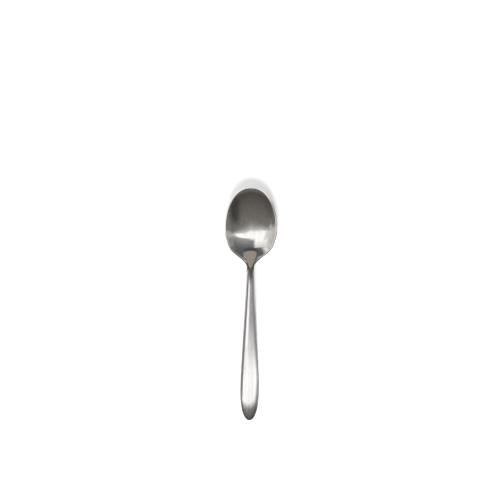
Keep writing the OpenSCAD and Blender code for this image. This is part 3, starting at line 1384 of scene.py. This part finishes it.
def stage_reflection(name: str, mesh: Any) -> Any:
    """Puts a mesh on the stage where only reflections see it.

    Args:
        name: Name of the object.
        mesh: Its mesh.

    Returns:
        The new stage object.
    """
    thing = bpy.data.objects.new(name, mesh)
    for ray in ("camera", "diffuse", "transmission", "shadow", "volume_scatter"):
        setattr(thing, f"visible_{ray}", False)
    bpy.context.scene.collection.objects.link(thing)
    return thing


@dataclass(frozen=True)
class ReflectionCard:
    """A soft-edged card that only shows in the steel. Lengths are in metres, angles in degrees.

    A card lies flat, with its width across X and its height along Y, and is then tilted. Each feather is the
    share of the card over which it fades, at its left, right, lower and upper edge. Its bend is how far its
    left and right end are drawn along Y.
    """

    name: str
    centre: tuple[float, float, float]
    width: float
    height: float
    start: Colour
    stop: Colour
    run: Run = Run.ALONG
    tilt: tuple[float, float, float] = (0.0, 0.0, 0.0)
    feather: tuple[float, float, float, float] = (0.1, 0.1, 0.1, 0.1)
    bend: float = 0.0
    bend_power: float = 1.5
    columns: int = 8

    def material(self) -> Any:
        """A glow that changes over the card and fades towards its four edges.

        Returns:
            The material.
        """
        material, wiring, output = blank_material(self.name)
        place = wiring.add("ShaderNodeTexCoord").outputs["UV"]
        axes = wiring.add("ShaderNodeSeparateXYZ", {0: place})
        left, right, low, high = self.feather
        mask = wiring.ramp(axes.outputs["X"], 0.0, left)
        for fade in (
            wiring.ramp(axes.outputs["X"], 1.0 - right, 1.0, 1.0, 0.0),
            wiring.ramp(axes.outputs["Y"], 0.0, low),
            wiring.ramp(axes.outputs["Y"], 1.0 - high, 1.0, 1.0, 0.0),
        ):
            mask = wiring.math("MULTIPLY", mask, fade)
        colour = wiring.blend((*self.start, 1.0), (*self.stop, 1.0), axes.outputs[self.run.value])
        clear = wiring.add("ShaderNodeBsdfTransparent")
        glow = wiring.add("ShaderNodeEmission", {"Color": colour, "Strength": 1.0})
        shader = wiring.add("ShaderNodeMixShader", {0: mask, 1: clear.outputs[0], 2: glow.outputs[0]})
        wiring.feed(output.inputs["Surface"], shader.outputs[0])
        return material

    def build(self) -> Any:
        """Hangs the card where only reflections see it.

        Returns:
            The new stage object.
        """
        corners = []
        for column in range(self.columns + 1):
            across = column / self.columns
            drawn = self.bend * abs(2.0 * across - 1.0) ** self.bend_power
            for along in (0.0, 1.0):
                corners.append(((across - 0.5) * self.width, (along - 0.5) * self.height + drawn, 0.0))
        mesh = bpy.data.meshes.new(self.name)
        mesh.from_pydata(corners, [], strip_faces(self.columns))
        layer = mesh.uv_layers.new(name="card")
        for loop in mesh.loops:
            layer.data[loop.index].uv = (loop.vertex_index // 2 / self.columns, loop.vertex_index % 2)
        mesh.materials.append(self.material())
        card = stage_reflection(self.name, mesh)
        card.location = self.centre
        card.rotation_euler = [math.radians(angle) for angle in self.tilt]
        return card


def ceiling_card(
    name: str,
    x: tuple[float, float],
    y: tuple[float, float],
    z: float,
    colours: tuple[Colour, Colour],
    **rest: Any,
) -> ReflectionCard:
    """A level card between two places across and two along the spoon.

    Args:
        name: Name of the card.
        x: Its left and right edge.
        y: Its lower and upper edge.
        z: Its height above the table.
        colours: Its colour at the start and at the stop of its run.
        **rest: Other fields of the card.

    Returns:
        The card.
    """
    centre = (sum(x) / 2, sum(y) / 2, z)
    return ReflectionCard(name, centre, x[1] - x[0], y[1] - y[0], *colours, **rest)


CARDS = (
    ceiling_card(
        "card_ceiling", (-4.0, 3.0), (-0.8, 4.0), 1.2, ((1.4, 1.39, 1.39), (1.4, 1.39, 1.39)),
        feather=(0.01, 0.01, 0.01, 0.01),
    ),
    ceiling_card(
        "card_over_bowl", (-0.6, 0.6), (-0.064, 0.0503), 0.2, ((0.09, 0.075, 0.064), (0.24, 0.23, 0.22)),
        tilt=(0, 0, 2.3), feather=(0.38, 0.05, 0.05, 0.17), bend=0.1,
    ),
    ceiling_card(
        "card_over_tip", (-0.6, 0.6), (-0.0715, 0.03), 0.202, ((0.082, 0.068, 0.058), (0.16, 0.15, 0.14)),
        feather=(0.1, 0.05, 0.03, 0.1),
    ),
    ceiling_card(
        "card_bowl_border", (-0.6, 0.6), (0.024, 0.056), 0.201, ((0.16, 0.15, 0.14), (0.68, 0.67, 0.65)),
        tilt=(0, 0, 2.3), feather=(0.38, 0.05, 0.1, 0.12), bend=0.1,
    ),
    ceiling_card(
        "card_dark_corner", (0.08, 0.36), (-0.06, 0.06), 0.19, ((0.045, 0.041, 0.038), (0.065, 0.06, 0.056)),
        feather=(0.4, 0.3, 0.3, 0.3),
    ),
    ceiling_card(
        "card_south_sky", (-0.27, 0.9), (-0.7, -0.14), 1.0, ((0.56, 0.56, 0.585), (0.29, 0.29, 0.3)),
        run=Run.ACROSS, feather=(0.22, 0.2, 0.01, 0.5),
    ),
    ceiling_card(
        "card_south_west", (-3.0, -0.5), (-0.75, 0.07), 1.0, ((0.24, 0.23, 0.22), (0.32, 0.305, 0.29)),
        run=Run.ACROSS, feather=(0.01, 0.12, 0.05, 0.1),
    ),
    ceiling_card(
        "card_south_east", (0.5, 3.0), (-0.75, 0.05), 1.002, ((0.4, 0.39, 0.39), (0.2, 0.19, 0.18)),
        run=Run.ACROSS, feather=(0.12, 0.01, 0.05, 0.5),
    ),
    ceiling_card(
        "card_east", (1.2, 3.0), (-0.3, 0.8), 0.98, ((0.85, 0.8, 0.77), (0.6, 0.55, 0.52)),
        run=Run.ACROSS, feather=(0.3, 0.01, 0.3, 0.3),
    ),
    ceiling_card(
        "card_west", (-4.0, -1.1), (-0.2, 2.4), 1.03, ((0.86, 0.83, 0.81), (0.9, 0.87, 0.85)),
        feather=(0.01, 0.25, 0.05, 0.1),
    ),
    ceiling_card(
        "card_north_east", (-0.05, 3.0), (0.48, 1.6), 1.0, ((0.48, 0.475, 0.475), (0.22, 0.22, 0.225)),
        feather=(0.06, 0.01, 0.15, 0.05),
    ),
    ceiling_card(
        "card_north_far", (-0.5, 3.0), (1.45, 3.0), 1.005, ((0.21, 0.21, 0.215), (0.15, 0.15, 0.155)),
        feather=(0.15, 0.01, 0.1, 0.01),
    ),
    ceiling_card(
        "card_north", (-0.4, 0.4), (0.45, 3.0), 1.01, ((0.32, 0.32, 0.335), (0.14, 0.14, 0.145)),
        feather=(0.35, 0.01, 0.2, 0.01),
    ),
    ceiling_card(
        "card_north_west", (-3.0, -0.05), (0.8, 3.0), 1.02, ((1.3, 1.29, 1.28), (0.62, 0.61, 0.6)),
        feather=(0.01, 0.05, 0.25, 0.01),
    ),
    ceiling_card(
        "card_over_facet", (-0.008, 0.008), (0.0385, 0.0575), 0.03,
        ((0.37, 0.325, 0.285), (0.42, 0.355, 0.3)),
        feather=(0.05, 0.05, 0.05, 0.05),
    ),
    ceiling_card(
        "card_over_facet_tip", (-0.012, 0.012), (0.027, 0.0395), 0.0302,
        ((0.07, 0.06, 0.052), (0.09, 0.078, 0.068)),
        feather=(0.1, 0.1, 0.1, 0.02),
    ),
    ceiling_card(
        "card_south_dark", (-3.0, 3.0), (-1.2, -0.49), 0.997, ((0.1, 0.09, 0.082), (0.28, 0.27, 0.265)),
        feather=(0.01, 0.01, 0.01, 0.3), bend=-0.4,
    ),
    ceiling_card(
        "card_over_mouth", (-0.036, 0.06), (-0.002, 0.03), 0.05, ((0.1, 0.097, 0.095), (0.07, 0.066, 0.063)),
        feather=(0.25, 0.2, 0.25, 0.3),
    ),
    ceiling_card(
        "card_over_end", (-0.08, 0.08), (-0.113, -0.0875), 0.05, ((0.26, 0.255, 0.25), (1.4, 1.39, 1.38)),
        tilt=(0, 0, 13), feather=(0.3, 0.35, 0.02, 0.1), bend=0.04,
    ),
    ceiling_card(
        "card_behind_end", (-0.08, 0.08), (-0.171, -0.111), 0.0502, ((0.0, 0.0, 0.0), (0.28, 0.275, 0.27)),
        tilt=(0, 0, 13), feather=(0.3, 0.35, 0.4, 0.02), bend=0.04,
    ),
    ReflectionCard(
        "card_south_wall", (0.0, -0.9, 0.7), 6.0, 1.4, (0.09, 0.074, 0.062), (0.13, 0.117, 0.108),
        tilt=(90, 0, 0), feather=(0.01, 0.01, 0.01, 0.01),
    ),
    ReflectionCard(
        "card_north_wall", (0.725, 1.5, 0.37), 3.75, 0.74, (0.12, 0.12, 0.125), (0.15, 0.15, 0.16),
        tilt=(90, 0, 0), feather=(0.15, 0.45, 0.01, 0.2),
    ),
    ReflectionCard(
        "card_east_wall", (2.8, 1.0, 0.5), 4.0, 1.1, (0.34, 0.325, 0.31), (0.34, 0.33, 0.32),
        tilt=(90, 0, 90), feather=(0.01, 0.01, 0.01, 0.01),
    ),
    ReflectionCard(
        "card_west_wall", (-2.8, 1.5, 0.6), 3.0, 1.3, (0.62, 0.58, 0.55), (0.85, 0.81, 0.78),
        tilt=(90, 0, 90), feather=(0.1, 0.01, 0.01, 0.3),
    ),
    ReflectionCard(
        "card_west_corner", (-2.82, -0.4, 0.6), 2.0, 1.3, (0.16, 0.15, 0.14), (0.2, 0.19, 0.18),
        tilt=(90, 0, 90), feather=(0.01, 0.2, 0.01, 0.1),
    ),
    ReflectionCard(
        "card_east_strip", (0.06, 0.0355, 0.02), 0.071, 0.042, (0.16, 0.15, 0.14), (0.24, 0.225, 0.21),
        tilt=(90, 0, 90), feather=(0.1, 0.04, 0.01, 0.15),
    ),
    ReflectionCard(
        "card_east_glint", (0.0599, 0.076, 0.02), 0.018, 0.044, (0.58, 0.56, 0.54), (0.58, 0.56, 0.54),
        tilt=(90, 0, 90), feather=(0.4, 0.4, 0.01, 0.2),
    ),
    ReflectionCard(
        "card_east_of_neck", (0.016, 0.036, 0.02), 0.024, 0.042, (0.07, 0.057, 0.048), (0.07, 0.057, 0.048),
        tilt=(90, 0, 90), feather=(0.3, 0.1, 0.01, 0.2),
    ),
    ReflectionCard(
        "card_west_of_neck", (-0.016, 0.036, 0.02), 0.024, 0.042, (0.07, 0.057, 0.048), (0.07, 0.057, 0.048),
        tilt=(90, 0, 90), feather=(0.3, 0.1, 0.01, 0.2),
    ),
    # Painted shadow: a dark card lying just above the table under the spoon, seen only in the steel, that
    # stands in for the spoon's shade on the table in its reflections
    ceiling_card(
        "card_painted_shadow_under_spoon", (-0.045, 0.045), (-0.115, 0.05), 0.0006,
        ((0.08, 0.07, 0.062), (0.08, 0.07, 0.062)),
        feather=(0.4, 0.4, 0.12, 0.1),
    ),
)


@dataclass(frozen=True, eq=False)
class RimShade:
    """A dark strip beside the rim's right edge that only shows in the steel. Lengths are in millimetres.

    It stands lower at its two ends, over the length of its fade.
    """

    lines: SpoonLines
    name: str = "shade_beside_rim"
    start: float = 4.0
    stop: float = 56.0
    gap: float = 0.6
    low: float = 3.0
    high: float = 11.6
    fade: float = 9.0
    level: float = 0.02
    columns: int = 40

    def build(self) -> Any:
        """Stands the strip along the outline.

        Returns:
            The new stage object.
        """
        material, wiring, output = blank_material(self.name)
        glow = wiring.add("ShaderNodeEmission", {"Color": (self.level, self.level, self.level, 1.0)})
        wiring.feed(output.inputs["Surface"], glow.outputs[0])
        corners = []
        places = even(self.start, self.stop, self.columns)[:-1]
        for s in places:
            x = self.lines.outline(s) + self.gap
            top = mix(self.low, self.high, ease(min(s - self.start, self.stop - s) / self.fade))
            corners += self.lines.place(s, np.full(2, x), np.array([self.low, top])).tolist()
        mesh = bpy.data.meshes.new(self.name)
        mesh.from_pydata(corners, [], strip_faces(len(places) - 1))
        mesh.materials.append(material)
        return stage_reflection(self.name, mesh)


@dataclass(frozen=True)
class Lamp:
    """A soft oval lamp that lights the table and is not seen in the steel. Lengths are in metres."""

    name: str
    place: tuple[float, float, float]
    width: float
    height: float
    power: float
    aim: tuple[float, float, float] = (0.0, 0.06, 0.0)

    def build(self) -> Any:
        """Hangs the lamp and turns it to the spoon.

        Returns:
            The new lamp object.
        """
        light = bpy.data.lights.new(self.name, "AREA")
        light.shape = "ELLIPSE"
        light.size = self.width
        light.size_y = self.height
        light.energy = self.power
        lamp = bpy.data.objects.new(self.name, light)
        lamp.location = self.place
        way = Vector(self.aim) - Vector(self.place)
        lamp.rotation_euler = way.to_track_quat("-Z", "Y").to_euler()
        lamp.visible_glossy = False
        bpy.context.scene.collection.objects.link(lamp)
        return lamp


@dataclass(frozen=True)
class Studio:
    """White table, soft lamps and a camera straight above. Lengths are in metres."""

    table_size: float = 12.0
    table_colour: Colour = (0.8, 0.8, 0.8)
    table_roughness: float = 0.9
    table_glow: float = 0.42
    sky_level: float = 0.22
    lamps: tuple[Lamp, ...] = (
        Lamp("south_lamp", (-0.08, -0.92, 1.0), 0.6, 0.6, 18.0),
        Lamp("west_lamp", (-0.55, -0.1, 1.35), 1.6, 1.6, 5.0),
    )
    photo_pixels: float = 500.0
    pixel_size: float = 0.000839
    view_distance: float = 1.0
    view_centre: tuple[float, float] = (-0.0005, 0.04536)
    view_roll: float = 0.42
    sensor: float = 36.0

    def seen(self, wiring: Wiring) -> Any:
        """Output that is 1 for what the camera sees, also in steel or through glass."""
        path = wiring.add("ShaderNodeLightPath")
        glossy = wiring.math("MAXIMUM", path.outputs["Is Camera Ray"], path.outputs["Is Glossy Ray"])
        return wiring.math("MAXIMUM", glossy, path.outputs["Is Transmission Ray"])

    def table(self) -> Any:
        """Makes the white table, which keeps the shadow.

        Returns:
            The new stage object.
        """
        material, wiring, output = blank_material("white_table")
        paper = wiring.add("ShaderNodeBsdfPrincipled", {
            "Base Color": (*self.table_colour, 1.0),
            "Roughness": self.table_roughness,
            "Specular IOR Level": 0.0,
        })
        strength = wiring.math("MULTIPLY", self.seen(wiring), self.table_glow)
        glow = wiring.add("ShaderNodeEmission", {"Color": WHITE, "Strength": strength})
        both = wiring.add("ShaderNodeAddShader", {0: paper.outputs[0], 1: glow.outputs[0]})
        wiring.feed(output.inputs["Surface"], both.outputs[0])
        half = self.table_size / 2
        mesh = bpy.data.meshes.new("white_table")
        corners = [(-half, -half, 0), (half, -half, 0), (half, half, 0), (-half, half, 0)]
        mesh.from_pydata(corners, [], [(0, 1, 2, 3)])
        mesh.materials.append(material)
        table = bpy.data.objects.new("white_table", mesh)
        table.location.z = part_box("bowl")[0].z
        bpy.context.scene.collection.objects.link(table)
        return table

    def sky(self) -> None:
        """Makes the plain pale surroundings."""
        world = bpy.data.worlds.new("pale_room")
        world.use_nodes = True
        world.node_tree.nodes.clear()
        wiring = Wiring(world.node_tree)
        strength = wiring.ramp(self.seen(wiring), 0.0, 1.0, self.sky_level, 1.0)
        light = wiring.add("ShaderNodeBackground", {"Color": WHITE, "Strength": strength})
        output = wiring.add("ShaderNodeOutputWorld")
        wiring.feed(output.inputs["Surface"], light.outputs[0])
        bpy.context.scene.world = world

    def camera(self) -> None:
        """Sets the camera straight above, as far away and as turned as the photo was taken."""
        lens = bpy.data.cameras.new("view")
        lens.sensor_width = self.sensor
        lens.lens = self.sensor * self.view_distance / (self.photo_pixels * self.pixel_size)
        view = bpy.data.objects.new("view", lens)
        view.location = (*self.view_centre, self.view_distance)
        view.rotation_euler = (0.0, 0.0, math.radians(self.view_roll))
        bpy.context.scene.collection.objects.link(view)
        bpy.context.scene.camera = view

    def build(self) -> None:
        """Sets up the whole studio."""
        self.camera()
        self.sky()
        for lamp in self.lamps:
            lamp.build()
        self.table()
        for card in CARDS:
            card.build()
        bpy.context.scene.view_settings.view_transform = "Standard"


def main() -> None:
    """Builds the spoon's pieces and the studio, and reports each piece."""
    logging.basicConfig(level=logging.INFO, format="%(name)s: %(message)s")
    joint_gap = 0.05
    lines = SpoonLines.from_frame(joint_gap)
    bowl_steel = SteelFinish("bowl_steel", "brushed_bowl_steel", (0.74, 0.73, 0.71), 0.07)
    shell_steel = SteelFinish(
        "shell_steel",
        "brushed_shell_steel",
        (0.77, 0.76, 0.75),
        0.1,
        mark=Mark(start=(0.5, -83.5), stop=(-2.8, -90.2), width=0.9),
    )
    Studio().build()
    RimShade(lines).build()
    builders = (
        Bowl(lines, bowl_steel),
        HandleShell(lines, shell_steel, Side.UPPER, joint_gap),
        HandleShell(lines, shell_steel, Side.LOWER, joint_gap),
        HandleFiller(CementFinish("pale_cement", (0.55, 0.5, 0.44))),
    )
    for builder in builders:
        piece = builder.build()
        LOG.info("%s: %d points, %d faces", piece.name, len(piece.data.vertices), len(piece.data.polygons))


if __name__ == "__main__":
    main()
